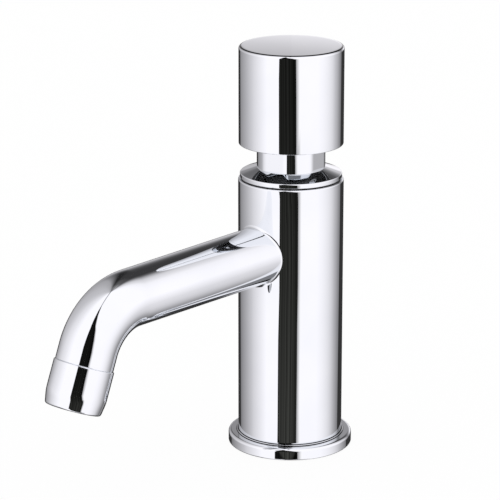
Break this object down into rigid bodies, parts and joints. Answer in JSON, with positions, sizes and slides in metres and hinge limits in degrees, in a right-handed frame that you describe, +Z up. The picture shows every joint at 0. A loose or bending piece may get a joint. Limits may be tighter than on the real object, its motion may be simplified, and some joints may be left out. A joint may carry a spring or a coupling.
{
  "type": "push timed tap",
  "caption": "Deck-mounted self-closing basin tap: pressing the cap opens a sprung valve that a hydraulic delay lets close; round body, bent spout with aerator, threaded inlet shank below.",
  "frame": {"origin": "on the tap's axis at the top of the basin, where the flange and its gasket rest", "axes": "+Z up along the tap's axis, -Y along the spout, +X to the right of someone who faces the spout"},
  "size_m": [0.0524, 0.1612, 0.2301],
  "materials": {
    "chrome": "polished chrome plate on brass",
    "brass": "turned brass",
    "steel": "turned and rolled stainless steel",
    "rubber": "moulded black rubber",
    "plastic": "moulded white acetal",
    "dark_plastic": "moulded black acetal",
    "fibre": "dark pressed fibre"
  },
  "bodies": {
    "tap_body": {"body": "chrome", "base_flange": "chrome", "deck_gasket": "rubber", "inlet_shank": "brass", "shank_seal": "fibre", "inlet_filter": "plastic", "rubber_washer": "rubber", "clamp_washer": "steel", "backnut": "brass", "spout": "chrome", "aerator_housing": "chrome", "aerator_washer": "rubber", "aerator_screen": "steel", "aerator_insert": "plastic", "aerator_grid": "plastic", "bonnet": "chrome", "bonnet_gasket": "fibre", "guide_bush": "plastic", "stem_seal": "rubber", "bush_clip": "steel", "spring_plate": "brass", "plate_clip": "steel", "return_spring": "steel", "valve_seat": "brass", "seat_seal": "rubber"},
    "plunger": {"push_cap": "chrome", "cap_guide": "dark_plastic", "spindle": "steel", "lock_nut": "steel", "cup_washer": "brass", "cup_seal": "rubber", "piston": "brass", "timing_jet": "steel", "spring_washer": "brass", "piston_nut": "brass", "valve_holder": "brass", "valve_washer": "rubber", "valve_nut": "brass"}
  },
  "joints": [
    {"name": "push", "type": "slide", "parent": "tap_body", "child": "plunger", "axis": [0, 0, -1], "range_m": [0, 0.008], "stiffness_N_per_m": 1500, "springref_m": -0.01, "deforming": ["return_spring"]}
  ]
}
